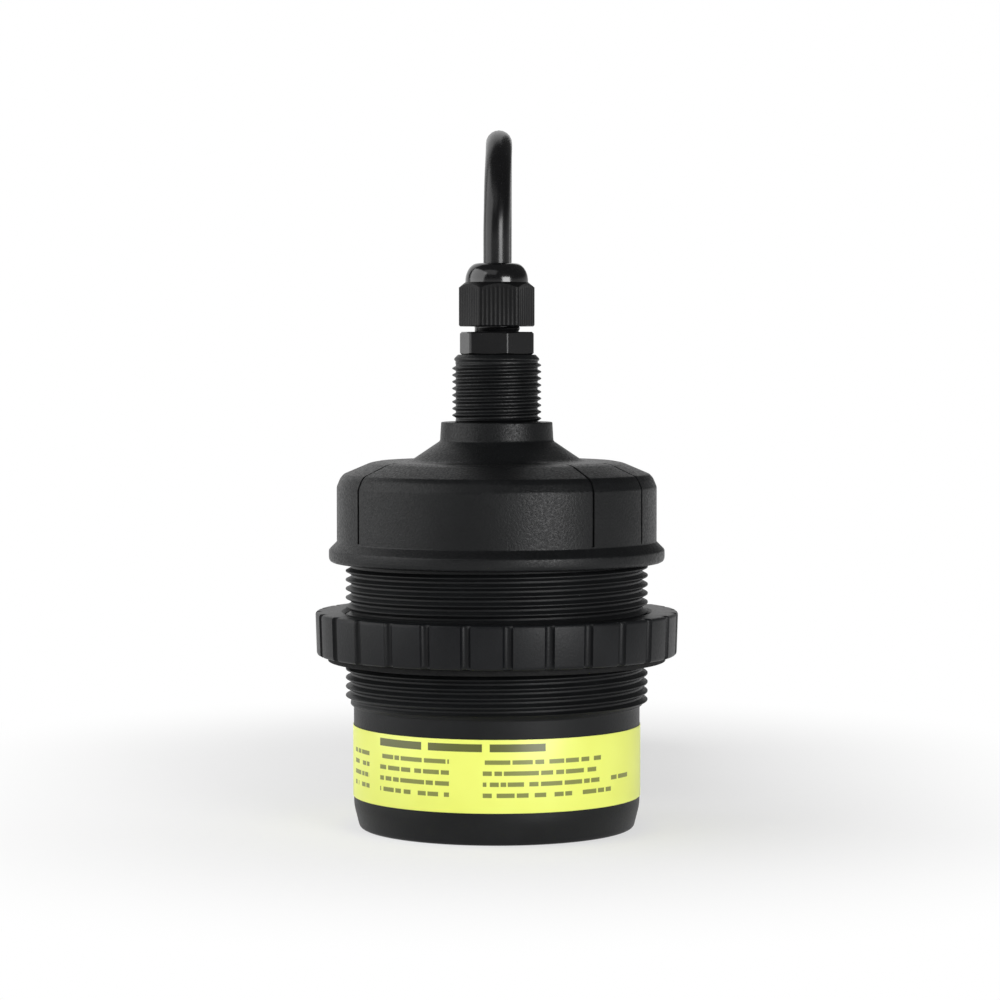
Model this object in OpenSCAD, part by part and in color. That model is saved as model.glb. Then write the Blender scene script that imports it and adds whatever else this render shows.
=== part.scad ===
// Ultrasonic level sensor: a round plastic housing that screws into a tank top or bracket.
// Millimetres. The sensor stands on its nose: the origin is the centre of the nose's lower end,
// +Z runs up the housing's axis, and the side that carries the label's middle faces -Y.

/* [Fits] */
// Radial clearance between pieces that are glued, pressed or screwed together
fit = 0.1; // [0.05:0.05:0.2]
// Radial clearance of the nuts and the washer on their threads
run_gap = 0.2; // [0.1:0.05:0.3]
// Gap between a nut and the piece that it pushes along
push_gap = 0.05; // [0.02:0.01:0.1]

/* [Barrel] */
// How far the smooth lower barrel lies inside the root of the thread
barrel_step = 0.6; // [0.2:0.1:1.2]
// Height of the smooth lower barrel, nose included
smooth_h = 27.8; // [25:0.1:40]
// Wall between the barrel's bore and the root of its thread
barrel_wall = 3.3; // [2.6:0.1:3.6]
// Height of the tapered nose
nose_h = 5.2; // [4:0.1:6.5]
// How far the nose draws in towards its lower end
nose_taper = 1.3; // [0.4:0.1:2]
// Radius of the nose's lower edge
nose_edge = 0.8; // [0.4:0.1:1.4]
// Height of the spigot that rises inside the cap
spigot_h = 10; // [8:0.1:12]

/* [Barrel thread] */
// Major diameter of the barrel thread
thread_d = 68; // [59:0.1:90]
// Pitch of the barrel thread
thread_pitch = 2; // [1.5:0.1:2.5]
// Depth of the barrel thread
thread_depth = 1.2; // [0.8:0.1:1.3]
// Turns of the barrel thread
thread_turns = 16; // [14:1:20]

/* [Label] */
// Height of the label band
label_h = 16; // [10:0.1:17]
// Height of the label's lower edge above the nose's taper
label_rise = 2.1; // [1:0.1:3]
// Thickness of the label
label_t = 0.15; // [0.1:0.05:0.3]
// Angle that the label covers
label_angle = 350; // [200:1:356]

/* [Locknut] */
// Wall of the locknut outside its bore
nut_wall = 6.6; // [4.5:0.1:12]
// Height of the locknut
nut_h = 9.7; // [8:0.1:10]
// Height of the locknut's lower face above the start of the thread
nut_rise = 11.2; // [2:0.1:20]
// Number of grip flutes around the locknut
flute_count = 28; // [16:1:36]
// Radius of a grip flute
flute_r = 1.15; // [0.8:0.05:1.5]
// Depth of a grip flute
flute_depth = 1; // [0.5:0.05:1.2]
// Direction of the first flute, from +X
flute_start = -86.6; // [-90:0.1:90]
// Radius of the locknut's outer edges
nut_edge = 0.7; // [0.3:0.1:1]
// Width of the sealing washer under the locknut, from its bore outwards
washer_w = 3.8; // [2:0.1:6]
// Thickness of the sealing washer
washer_h = 1.3; // [0.8:0.1:2.5]

/* [Cap] */
// Overhang of the cap's flange past the thread
flange_over = 3.75; // [2.6:0.05:8]
// Thickness of the flange at its rim
flange_h = 2.8; // [2.2:0.1:3.4]
// Radius of the flange's lower edge
flange_edge = 1.2; // [0.5:0.1:1.5]
// Depth of the recess that seats the cap on the barrel
seat_recess = 0.5; // [0.3:0.1:1]
// Overhang of the cap's wall past the thread
cap_over = 1.95; // [1.5:0.05:2.3]
// Thickness of the cap's shell
cap_skin = 2.95; // [2.6:0.05:3]
// Height of the cap's wall above its seat
cap_wall_h = 16.9; // [15:0.1:20]
// How far the foot of the sloping shoulder lies inside the cap's wall
shoulder_in = 1.6; // [1.2:0.1:2.5]
// Width of the sloping shoulder
shoulder_w = 5.85; // [4.5:0.05:8]
// Height of the ledge above the cap's seat
ledge_h = 22.6; // [21.5:0.1:26]
// How far the foot of the cone spreads past the collar
cone_over = 7; // [4.5:0.1:9]
// Height of the cone
cone_h = 5; // [3.5:0.1:6]
// Overhang of the collar past the neck's thread
collar_over = 2.5; // [1.6:0.1:4]
// Height of the collar
collar_h = 3.8; // [2:0.1:5]
// Width of a grip panel between the two grooves that mark it off, as an angle
panel_angle = 27; // [15:1:40]
// Width of those grooves
groove_w = 0.7; // [0.4:0.1:1.2]
// Depth of those grooves
groove_depth = 0.5; // [0.3:0.05:0.8]
// Direction of the first grip panel's middle, from +X
panel_start = -41; // [-90:1:90]
// Section of the seal ring between the cap and the barrel
ring_section = 1.8; // [1.4:0.1:2]

/* [Neck] */
// Major diameter of the neck thread
neck_d = 20; // [19:0.1:21.5]
// Pitch of the neck thread
neck_pitch = 1.5; // [1:0.1:2]
// Depth of the neck thread
neck_depth = 0.8; // [0.5:0.1:1]
// Turns of the neck thread
neck_turns = 9; // [8:1:12]
// Height of the plain end above the neck thread, chamfer included
neck_end_h = 1.6; // [1:0.1:2.5]
// Chamfer of the neck's end
neck_chamfer = 0.9; // [0.4:0.1:1]

/* [Cable gland] */
// Width of the gland's hexagons across their flats
gland_flats = 15; // [14:0.1:16.5]
// Height of the gland body's hexagon
gland_hex_h = 5.1; // [4:0.1:7]
// Diameter of the gland body's lower thread, in the neck
gland_low_d = 12.4; // [12:0.1:13]
// Length of the gland body's lower thread
gland_low_h = 10; // [8:0.1:12]
// Diameter of the gland body's upper thread, under the dome nut
gland_up_d = 10.4; // [10:0.1:10.8]
// Height of the gland body's upper thread and claws
gland_up_h = 7; // [6:0.1:8]
// Gap left between the dome nut and the gland body's hexagon
gland_gap = 1.2; // [1.1:0.1:2.2]
// Height of the dome nut's hexagon
dome_hex_h = 9.9; // [9:0.1:12]
// Height of the dome above the hexagon
dome_h = 4.3; // [3.5:0.1:5.5]
// How far the dome lies inside the hexagon's flats
dome_in = 0.45; // [0.2:0.05:1]
// Wall of the pocket that holds the gland seal
claw_wall = 0.65; // [0.5:0.05:0.8]

/* [Cable] */
// Diameter of the cable
cable_d = 6; // [5.6:0.1:6.2]
// Diameter of one insulated core
core_d = 1.8; // [1.4:0.1:1.8]

/* [Transducer] */
// Width of the lip that carries the radiating disc, around the nose's opening
lip_w = 2; // [1.5:0.1:4]
// Thickness of that lip
lip_h = 3; // [2:0.1:4]
// Depth of the radiating face inside the opening
face_recess = 0.6; // [0.2:0.1:1.5]
// Thickness of the radiating disc's rim
disc_rim_h = 2; // [1.5:0.1:3]
// Diameter of the piezo disc
piezo_d = 28; // [24:0.5:32]
// Thickness of the piezo disc
piezo_h = 8; // [6:0.1:9]
// Thickness of the backing above the piezo disc
backing_h = 7; // [6:0.1:9]
// Diameter of the temperature probe's bead
probe_d = 3; // [2:0.1:4]
// Diameter of an inner lead
lead_d = 1.2; // [0.8:0.1:1.4]

/* [Boards] */
// Thickness of a board
board_t = 1.6; // [1.2:0.1:2]
// Gap between the boards and the barrel's bore
board_gap = 1.5; // [0.8:0.1:2]
// Height of the drive board above the backing
drive_rise = 8; // [6:0.1:9]
// Distance between the two boards
board_space = 14.4; // [13:0.1:15]
// Diameter of a pillar that carries the boards
pillar_d = 5.5; // [4.5:0.1:6]
// Diameter of the screws and of the pillars' studs
screw_d = 3; // [2.5:0.1:3.2]
// Height of a screw's head
screw_head_h = 2; // [1.5:0.1:2.4]
// Distance between the terminals
terminal_space = 5; // [4.5:0.1:5.2]
// Height of the terminal block
terminal_h = 10.5; // [8:0.1:11]

/* [Hidden] */

$fn = 96;
// Sides of the thin swept wires and of the swept cable
wire_sides = 8;
cable_sides = 10;
// Overlap that lets one cut run clear through another piece's face
over = 1;

// Finishes
abs_black = "#26272a";
nylon_black = "#1b1b1d";
rubber_black = "#141414";
label_yellow = "#f0f25a";
tinned = "#c9ccce";
board_green = "#1f6b3a";
core_colours = ["#c8202a", "#1c1c1e", "#e8cf2a", "#2450b4", "#2c8a3c"];

// Barrel
thread_r = thread_d / 2;
thread_root_r = thread_r - thread_depth;
bore_r = thread_root_r - barrel_wall;
barrel_r = thread_root_r - barrel_step;
nose_r = barrel_r - nose_taper;
label_z = nose_h + label_rise;
// The cap's flange faces down at seat_z, and the barrel's shoulder carries the cap just above it
seat_z = smooth_h + thread_turns * thread_pitch;
rest_z = seat_z + seat_recess;
spigot_top_z = rest_z + spigot_h;

// Layer of glue under the label
label_glue = 0.02;

// Cap
cap_r = thread_r + cap_over;
cap_bore_r = cap_r - cap_skin;
spigot_r = cap_bore_r - fit;
flange_r = thread_r + flange_over;
flange_rim_z = seat_z + flange_h;
flange_slope_z = flange_rim_z + flange_r - cap_r;
cap_wall_z = seat_z + cap_wall_h;
ledge_z = seat_z + ledge_h;
shoulder_r = cap_r - shoulder_in;
ledge_r = shoulder_r - shoulder_w;
shoulder_z = (cap_wall_z + ledge_z) / 2;
neck_r = neck_d / 2;
collar_r = neck_r + collar_over;
cone_r = collar_r + cone_over;
collar_z = ledge_z + cone_h;
collar_round = 0.5;
neck_z = collar_z + collar_h;
neck_top_z = neck_z + neck_turns * neck_pitch + neck_end_h;
panel_count = 3;
groove_angle = 2 * asin(groove_w / 2 / cap_r);
// Width of the ledge's rounded edge, and how far a panel's grooves reach past it onto the flat ledge
ledge_edge = 2;
groove_reach = 0.5;
groove_in_r = ledge_r - ledge_edge - groove_reach;
// The grooves end this far above the flange's slope
groove_foot = 0.4;
// The seal ring's slot lies half way up the spigot
ring_r = ring_section / 2;
ring_z = rest_z + spigot_h / 2;
ring_mid_r = cap_bore_r - fit / 2 - ring_r;
slot_r = ring_mid_r - ring_r - fit / 2;
slot_h = ring_section + 4 * fit;

// Locknut and washer
nut_bore_r = thread_r + run_gap;
nut_r = nut_bore_r + nut_wall;
nut_z = smooth_h + nut_rise;
nut_draft = 0.3;
nut_lead_in = 0.8;
washer_top_z = nut_z - push_gap;
washer_r = nut_bore_r + washer_w;

// Gland
cable_r = cable_d / 2;
core_r = core_d / 2;
gland_corner_r = gland_flats / 2 / cos(30);
// The hexagons' corners are turned down by this much
gland_corner_round = 0.15;
gland_round_r = gland_corner_r - gland_corner_round;
gland_low_r = gland_low_d / 2;
gland_up_r = gland_up_d / 2;
gland_up_z = neck_top_z + gland_hex_h;
gland_up_top_z = gland_up_z + gland_up_h;
gland_body_turn = -73.7;
gland_bore_r = cable_r + fit;
pocket_r = gland_up_r - claw_wall;
pocket_floor = 0.4;
pocket_z = gland_up_z + pocket_floor;
slit_w = 0.6;
slit_count = 3;
dome_z = gland_up_z + gland_gap;
dome_hex_top_z = dome_z + dome_hex_h;
dome_top_z = dome_hex_top_z + dome_h;
dome_r = gland_flats / 2 - dome_in;
dome_turn = -56.4;
dome_chamfer = 1.2;
dome_mouth_gap = 1;
dome_mouth_r = cable_r + dome_mouth_gap;
dome_bore_r = gland_up_r + run_gap;
// Room left above the claws when the dome nut is screwed right down
dome_room = 0.8;
dome_step_z = gland_up_top_z + gland_gap + dome_room;
// Fine ribs on each face of the dome nut
rib_count = 8;
rib_r = 0.35;
rib_depth = 0.16;
rib_space = 0.95;
rib_at = gland_flats / 2 + rib_r - rib_depth;
seal_r = pocket_r - fit;
seal_bore_r = cable_r + fit;
seal_z = pocket_z + gland_gap;
seal_top_z = dome_step_z - push_gap;
neck_bore_r = gland_low_r + fit;
neck_bore_z = neck_top_z - gland_low_h - fit;
neck_pass_gap = 1.5;
neck_pass_r = cable_r + neck_pass_gap;
// The jacket ends this far below the collar, inside the cap
jacket_h = 5;
cable_in_z = collar_z - jacket_h;

// Transducer
face_r = bore_r - lip_w;
disc_top_z = lip_h + disc_rim_h;
piezo_r = piezo_d / 2;
piezo_top_z = disc_top_z + piezo_h;
backing_top_z = piezo_top_z + backing_h;
fill_r = bore_r - fit;
probe_r = probe_d / 2;
probe_h = piezo_h / 2;
probe_at = [(piezo_r + fill_r) / 2, 0];
lead_r = lead_d / 2;
lead_at = [[-piezo_r / 3, 0], [piezo_r / 3, 0]];

// Boards
board_r = bore_r - board_gap;
drive_z = backing_top_z + drive_rise;
drive_top_z = drive_z + board_t;
supply_z = drive_top_z + board_space;
supply_top_z = supply_z + board_t;
pillar_r = pillar_d / 2;
pillar_edge = 1;
pillar_at = board_r - pillar_r - pillar_edge;
pillar_count = 3;
pillar_turn = 90;
// Backing left under a pillar's foot
pillar_floor = 1;
pillar_foot_h = backing_h - pillar_floor;
stud_r = screw_d / 2 - fit;
stud_h = 5;
screw_hole_r = screw_d / 2;
terminal_y = board_r * 0.36;
terminal_count = 5;
terminal_deep = 9;
terminal_hole_h = 4;
terminal_top_z = supply_top_z + terminal_h;
terminal_hole_r = core_r + fit;

// Parts on the boards: [width, depth, height], and where their middles stand as shares of the board's radius
processor_size = [10, 10, 1.4];
processor_at = board_r * [-0.3, -0.3];
amplifier_size = [6, 5, 1.6];
amplifier_at = board_r * [0.18, -0.44];
transformer_size = [14, 12, 11];
transformer_at = board_r * [0.36, 0.1];
transformer_flange_h = 1.6;
winding_r = 5;
capacitor_r = 4;
capacitor_h = 11.5;
capacitor_at = board_r * [[-0.43, 0.25], [-0.11, 0.43]];
link_size = [4, 15];
link_at = board_r * [0, -0.75];
link_turn = 90;
inductor_r = 6;
inductor_waist_r = 4.4;
inductor_h = 7;
inductor_rim_h = 1.4;
inductor_at = board_r * [-0.32, -0.32];
supply_capacitor_r = 5;
supply_capacitor_h = 12;
supply_capacitor_at = board_r * [0.29, -0.36];

// Cores inside the cap: they leave the cable in a ring and spread to the terminals from left to right
core_ring_r = 1.7;
core_ring_angles = [162, 234, 90, 306, 18];
core_steps = 10;
// Straight length of a core where it leaves the cable and where it enters its terminal
core_straight = 1;

// The cable's way from the gland: up, over to the back, down behind the housing and onto the hank
cable_route = [
  [0, 0, 0], [0, 0, 3], [0, 0, 6.6],
  [0.1, 1, 12.5], [0.2, 4, 18.5], [0.4, 8.5, 23.5], [0.5, 14.5, 26.8], [0.5, 21, 28],
  [0.5, 27.5, 26.8], [0.5, 33.5, 23.5], [0.5, 38, 18.5], [0.5, 41, 12.5], [0.5, 42.5, 6],
  [0.5, 44, -6], [0.5, 46, -20], [0.5, 48.5, -36], [0.5, 51, -50],
  [0.6, 53.5, -62], [1.2, 57, -73], [3, 62, -82], [6.5, 69, -89.5],
  [11, 77, -95], [16, 86, -99.5], [20.5, 96, -102.8], [23.4, 107, -104.4]
];

// The hank: turns of cable in four layers, tied, lying behind the housing
hank_near_y = 67;
hank_run = 70;
hank_turn_r = 24.2;
hank_layers = 4;
hank_rise = 6.2;
hank_floor_z = 1;
hank_out_r = hank_turn_r + cable_r;
hank_far_y = hank_near_y + hank_run;
hank_h = (hank_layers - 1) * hank_rise + cable_d;
hank_top_z = hank_floor_z + hank_h;
// Room on the hank's top layer where the cable's stripped end lies
tail_y = 100;
tail_room = 36;
tail_x = -18;
tail_floor_z = hank_top_z - hank_rise;
tail_half_w = 8;
tail_room_edge_x = tail_x + tail_half_w;
tie_y = 116;
tie_w = 5;
tie_t = hank_floor_z;
end_space = 2;
end_fan = 1.5;
end_h = 22;
end_tip_h = 6;
end_tip_r = core_r / 2;

// Points of an arc in the plane of a profile
function arc(centre, r, from, to, steps = 6) =
  [for (i = [0:steps]) let (a = from + (to - from) * i / steps) centre + r * [cos(a), sin(a)]];

// Profile of a thread drawn as rings: root, flank, crest, flank for each turn
function ring_thread(crest_r, depth, pitch, turns, from_z) =
  [for (i = [0:turns - 1], p = [[-depth, 0], [0, pitch * 7 / 16], [0, pitch * 9 / 16]])
    [crest_r + p[0], from_z + i * pitch + p[1]]];

function unit(v) = v / norm(v);
function smooth_step(t) = t * t * (3 - 2 * t);

// Direction of a path at one of its points
function heading(path, i) =
  unit(path[min(i + 1, len(path) - 1)] - path[max(i - 1, 0)]);

// A closed tube of the given radius along a path that never runs along X
module sweep(path, r, sides) {
  rings = [for (i = [0:len(path) - 1])
    let (t = heading(path, i), a = unit([1, 0, 0] - t[0] * t), b = cross(t, a))
    for (k = [0:sides - 1]) path[i] + r * (cos(360 * k / sides) * a + sin(360 * k / sides) * b)];
  last = (len(path) - 1) * sides;
  walls = [for (i = [0:len(path) - 2], k = [0:sides - 1])
    let (m = (k + 1) % sides, s = i * sides) [s + k, s + sides + k, s + sides + m, s + m]];
  ends = [[for (k = [0:sides - 1]) k], [for (k = [sides - 1:-1:0]) last + k]];
  polyhedron(rings, concat(walls, ends), convexity = 8);
}

module block_at(size, at, z) {
  translate([at[0] - size[0] / 2, at[1] - size[1] / 2, z]) cube(size);
}

module at_pillars(z) {
  for (i = [0:pillar_count - 1])
    rotate(pillar_turn + i * 360 / pillar_count) translate([pillar_at, 0, z]) children();
}

module rounded_hex(flats_turn, r_round, h) {
  intersection() {
    rotate(flats_turn) cylinder(r = gland_corner_r, h = h, $fn = 6);
    cylinder(r = r_round, h = h);
  }
}

module barrel() {
  outside = concat(
    [[face_r, 0]],
    arc([nose_r - nose_edge, nose_edge], nose_edge, -90, 0),
    [[barrel_r, nose_h], [barrel_r, smooth_h]],
    ring_thread(thread_r, thread_depth, thread_pitch, thread_turns, smooth_h),
    [[thread_r, rest_z], [spigot_r, rest_z]]
  );
  seal_slot = [
    [spigot_r, ring_z - slot_h / 2], [slot_r, ring_z - slot_h / 2],
    [slot_r, ring_z + slot_h / 2], [spigot_r, ring_z + slot_h / 2]
  ];
  inside = [[spigot_r, spigot_top_z], [bore_r, spigot_top_z], [bore_r, lip_h], [face_r, lip_h]];
  color(abs_black) rotate_extrude() polygon(concat(outside, seal_slot, inside));
}

module rating_label() {
  gap = 360 - label_angle;
  color(label_yellow) rotate(90 + gap / 2) rotate_extrude(angle = label_angle)
    translate([barrel_r + label_glue, label_z]) square([label_t, label_h]);
}

module locknut() {
  bottom = nut_z;
  top = nut_z + nut_h;
  profile = concat(
    [[nut_bore_r, top - nut_lead_in], [nut_bore_r, bottom]],
    arc([nut_r - nut_draft - nut_edge, bottom + nut_edge], nut_edge, -90, 0, 3),
    arc([nut_r - nut_edge, top - nut_edge], nut_edge, 0, 90, 3),
    [[nut_bore_r + nut_lead_in, top]]
  );
  color(abs_black) difference() {
    rotate_extrude() polygon(profile);
    for (i = [0:flute_count - 1])
      rotate(flute_start + i * 360 / flute_count)
        translate([nut_r + flute_r - flute_depth, 0, bottom - over])
          cylinder(r = flute_r, h = nut_h + 2 * over, $fn = 24);
  }
}

module sealing_washer() {
  color(rubber_black) rotate_extrude()
    translate([nut_bore_r, washer_top_z - washer_h]) square([washer_r - nut_bore_r, washer_h]);
}

// Outer line of the cap from its wall up to the ledge, drawn in by a depth
function cap_crown(depth) = [
  [cap_r - depth, cap_wall_z],
  [(cap_r + shoulder_r) / 2 - depth * 0.9, cap_wall_z + (shoulder_z - cap_wall_z) * 0.68],
  [shoulder_r - depth * 0.6, shoulder_z - depth * 0.8],
  [ledge_r - depth * 0.4, ledge_z - (ledge_z - shoulder_z) / 8 - depth],
  [ledge_r - ledge_edge, ledge_z - depth]
];

module top_cap() {
  outside = concat(
    [[cap_bore_r, rest_z], [thread_r + fit, rest_z], [thread_r + fit, seat_z]],
    arc([flange_r - flange_edge, seat_z + flange_edge], flange_edge, -90, 0),
    [[flange_r, flange_rim_z], [cap_r, flange_slope_z]],
    cap_crown(0),
    [[cone_r, ledge_z], [collar_r + collar_round, collar_z - collar_round], [collar_r, collar_z],
      [collar_r, neck_z]],
    ring_thread(neck_r, neck_depth, neck_pitch, neck_turns, neck_z),
    [[neck_r - neck_depth, neck_top_z - neck_end_h], [neck_r - neck_depth / 2, neck_top_z - neck_chamfer],
      [neck_r - neck_depth / 2 - neck_chamfer, neck_top_z]]
  );
  inside = [
    [neck_bore_r, neck_top_z], [neck_bore_r, neck_bore_z], [neck_pass_r, neck_bore_z],
    [neck_pass_r, collar_z - cap_skin / 2], [cone_r - cap_skin, ledge_z - cap_skin],
    [ledge_r - cap_skin, ledge_z - cap_skin], [cap_bore_r, cap_wall_z - cap_skin / 2]
  ];
  groove = concat(
    [[cap_r - groove_depth, flange_slope_z + groove_foot]],
    cap_crown(groove_depth),
    [[groove_in_r, ledge_z - groove_depth], [groove_in_r, ledge_z + over], [cap_r + over, ledge_z + over],
      [cap_r + over, flange_slope_z + groove_foot]]
  );
  color(abs_black) difference() {
    rotate_extrude() polygon(concat(outside, inside));
    for (i = [0:panel_count - 1], side = [-1, 1])
      rotate(panel_start + i * 360 / panel_count + side * panel_angle / 2 - groove_angle / 2)
        rotate_extrude(angle = groove_angle) polygon(groove);
  }
}

module cap_seal_ring() {
  color(rubber_black) translate([0, 0, ring_z])
    rotate_extrude() translate([ring_mid_r, 0]) circle(r = ring_r, $fn = 32);
}

module gland_body() {
  color(nylon_black) difference() {
    union() {
      translate([0, 0, neck_top_z]) rounded_hex(gland_body_turn, gland_round_r, gland_hex_h);
      translate([0, 0, neck_top_z - gland_low_h]) cylinder(r = gland_low_r, h = gland_low_h + over);
      translate([0, 0, gland_up_z - over]) cylinder(r = gland_up_r, h = gland_up_h + over);
    }
    translate([0, 0, neck_top_z - gland_low_h - over])
      cylinder(r = gland_bore_r, h = gland_low_h + gland_hex_h + 2 * over);
    translate([0, 0, pocket_z]) cylinder(r = pocket_r, h = gland_up_h + over);
    for (i = [0:slit_count - 1])
      rotate(i * 180 / slit_count)
        translate([-gland_up_r - over, -slit_w / 2, gland_up_top_z - gland_up_h / 2])
          cube([2 * (gland_up_r + over), slit_w, gland_up_h]);
  }
}

module gland_seal() {
  color(rubber_black) rotate_extrude()
    translate([seal_bore_r, seal_z]) square([seal_r - seal_bore_r, seal_top_z - seal_z]);
}

module gland_nut() {
  round_r = dome_h * 0.7;
  dome = concat(
    [[0, dome_hex_top_z - over], [dome_r, dome_hex_top_z - over]],
    arc([dome_r - round_r, dome_top_z - round_r], round_r, 0, 90, 8),
    [[0, dome_top_z]]
  );
  cavity = [
    [0, dome_z - over], [dome_bore_r, dome_z - over], [dome_bore_r, dome_step_z],
    [seal_r - fit, dome_step_z], [dome_mouth_r, dome_top_z - dome_h / 4], [dome_mouth_r, dome_top_z + over],
    [0, dome_top_z + over]
  ];
  hex_shape = [
    [0, dome_z], [gland_round_r, dome_z], [gland_round_r, dome_hex_top_z - dome_chamfer],
    [dome_r, dome_hex_top_z], [0, dome_hex_top_z]
  ];
  color(nylon_black) difference() {
    union() {
      intersection() {
        translate([0, 0, dome_z]) rotate(dome_turn) cylinder(r = gland_corner_r, h = dome_hex_h, $fn = 6);
        rotate_extrude() polygon(hex_shape);
      }
      rotate_extrude() polygon(dome);
    }
    rotate_extrude() polygon(cavity);
    for (face = [0:5], k = [0:rib_count - 1])
      rotate(dome_turn + 30 + face * 60)
        translate([rib_at, (k - (rib_count - 1) / 2) * rib_space, dome_z - over])
          cylinder(r = rib_r, h = dome_hex_h + over - dome_chamfer, $fn = 12);
  }
}

module radiating_disc() {
  color("#d9d4c4") rotate_extrude() polygon([
    [0, face_recess], [face_r - fit, face_recess], [face_r - fit, lip_h],
    [fill_r, lip_h], [fill_r, disc_top_z], [0, disc_top_z]
  ]);
}

module piezo_disc() {
  color("#b9a98c") translate([0, 0, disc_top_z]) cylinder(r = piezo_r, h = piezo_h);
}

module damping_ring() {
  color("#5b4a3a") difference() {
    translate([0, 0, disc_top_z]) cylinder(r = fill_r, h = piezo_h);
    translate([0, 0, disc_top_z - over]) cylinder(r = piezo_r + fit, h = piezo_h + 2 * over);
    translate([probe_at[0], probe_at[1], disc_top_z - over])
      cylinder(r = probe_r + fit, h = piezo_h + 2 * over);
  }
}

module backing() {
  color("#3a3a40") difference() {
    translate([0, 0, piezo_top_z]) cylinder(r = fill_r, h = backing_h);
    for (at = concat(lead_at, [probe_at]))
      translate([at[0], at[1], piezo_top_z - over])
        cylinder(r = lead_r + fit, h = backing_h + 2 * over, $fn = 32);
    at_pillars(backing_top_z - pillar_foot_h) cylinder(r = pillar_r + fit, h = backing_h);
  }
}

module piezo_leads() {
  color("#b03030") for (at = lead_at)
    translate([at[0], at[1], piezo_top_z]) cylinder(r = lead_r, h = drive_z - piezo_top_z, $fn = 32);
}

module temperature_probe() {
  color("#8a6a30") translate([probe_at[0], probe_at[1], disc_top_z]) {
    cylinder(r = probe_r, h = probe_h);
    cylinder(r = lead_r, h = drive_z - disc_top_z, $fn = 32);
  }
}

module lower_pillars() {
  color(tinned) {
    at_pillars(backing_top_z - pillar_foot_h) cylinder(r = pillar_r, h = pillar_foot_h + drive_rise);
    at_pillars(drive_z - over) cylinder(r = stud_r, h = board_t + stud_h + over, $fn = 32);
  }
}

module round_board(z) {
  difference() {
    translate([0, 0, z]) cylinder(r = board_r, h = board_t);
    at_pillars(z - over) cylinder(r = screw_hole_r, h = board_t + 2 * over, $fn = 32);
  }
}

module drive_board() {
  color(board_green) round_board(drive_z);
}

module processor_chip() {
  color("#202020") block_at(processor_size, processor_at, drive_top_z);
}

module amplifier_chip() {
  color("#202020") block_at(amplifier_size, amplifier_at, drive_top_z);
}

module pulse_transformer() {
  plate = [transformer_size[0], transformer_size[1], transformer_flange_h];
  color("#4a4038") {
    block_at(plate, transformer_at, drive_top_z);
    block_at(plate, transformer_at, drive_top_z + transformer_size[2] - transformer_flange_h);
    translate([transformer_at[0], transformer_at[1], drive_top_z])
      cylinder(r = winding_r, h = transformer_size[2]);
  }
}

module drive_capacitors() {
  color("#27364f") for (at = capacitor_at)
    translate([at[0], at[1], drive_top_z]) cylinder(r = capacitor_r, h = capacitor_h);
}

module board_link() {
  color("#1d1d1f") translate([link_at[0], link_at[1], drive_top_z])
    rotate(link_turn) translate(-link_size / 2) cube([link_size[0], link_size[1], board_space]);
}

module upper_pillars() {
  color(tinned) difference() {
    at_pillars(drive_top_z) cylinder(r = pillar_r, h = board_space);
    at_pillars(drive_top_z - over) cylinder(r = screw_hole_r, h = stud_h + 2 * over, $fn = 32);
    at_pillars(supply_z - stud_h - over) cylinder(r = screw_hole_r, h = stud_h + 2 * over, $fn = 32);
  }
}

module supply_board() {
  color(board_green) round_board(supply_z);
}

module board_screws() {
  color(tinned) {
    at_pillars(supply_top_z) cylinder(r = pillar_r, h = screw_head_h);
    at_pillars(supply_z - stud_h) cylinder(r = stud_r, h = stud_h + board_t + over, $fn = 32);
  }
}

module supply_inductor() {
  color("#2b2b2d") translate([inductor_at[0], inductor_at[1], supply_top_z]) rotate_extrude() polygon([
    [0, 0], [inductor_r, 0], [inductor_r, inductor_rim_h], [inductor_waist_r, inductor_rim_h],
    [inductor_waist_r, inductor_h - inductor_rim_h], [inductor_r, inductor_h - inductor_rim_h],
    [inductor_r, inductor_h], [0, inductor_h]
  ]);
}

module supply_capacitor() {
  color("#27364f") translate([supply_capacitor_at[0], supply_capacitor_at[1], supply_top_z])
    cylinder(r = supply_capacitor_r, h = supply_capacitor_h);
}

function terminal_x(i) = (i - (terminal_count - 1) / 2) * terminal_space;

module terminal_block() {
  size = [terminal_count * terminal_space, terminal_deep, terminal_h];
  color("#2f7a4a") difference() {
    block_at(size, [0, terminal_y], supply_top_z);
    for (i = [0:terminal_count - 1])
      translate([terminal_x(i), terminal_y, terminal_top_z - terminal_hole_h])
        cylinder(r = terminal_hole_r, h = terminal_hole_h + over, $fn = 32);
  }
}

// One core from the cable's inner end, spreading and then dropping straight into its terminal
module core(i) {
  start = concat(core_ring_r * [cos(core_ring_angles[i]), sin(core_ring_angles[i])],
    cable_in_z - core_straight);
  mouth = [terminal_x(i), terminal_y, terminal_top_z + core_straight];
  foot = [terminal_x(i), terminal_y, terminal_top_z - terminal_hole_h];
  path = concat(
    [start + [0, 0, core_straight]],
    [for (k = [0:core_steps]) let (t = k / core_steps, s = smooth_step(t))
      [start[0] + (mouth[0] - start[0]) * s, start[1] + (mouth[1] - start[1]) * s,
        start[2] + (mouth[2] - start[2]) * t]],
    [foot]
  );
  color(core_colours[i]) sweep(path, core_r, wire_sides);
}

module cable_inner() {
  color(rubber_black) translate([0, 0, cable_in_z]) cylinder(r = cable_r, h = dome_top_z - cable_in_z);
}

module cable_free() {
  color(rubber_black)
    sweep([for (p = cable_route) p + [0, 0, dome_top_z]], cable_r, cable_sides);
}

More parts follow.
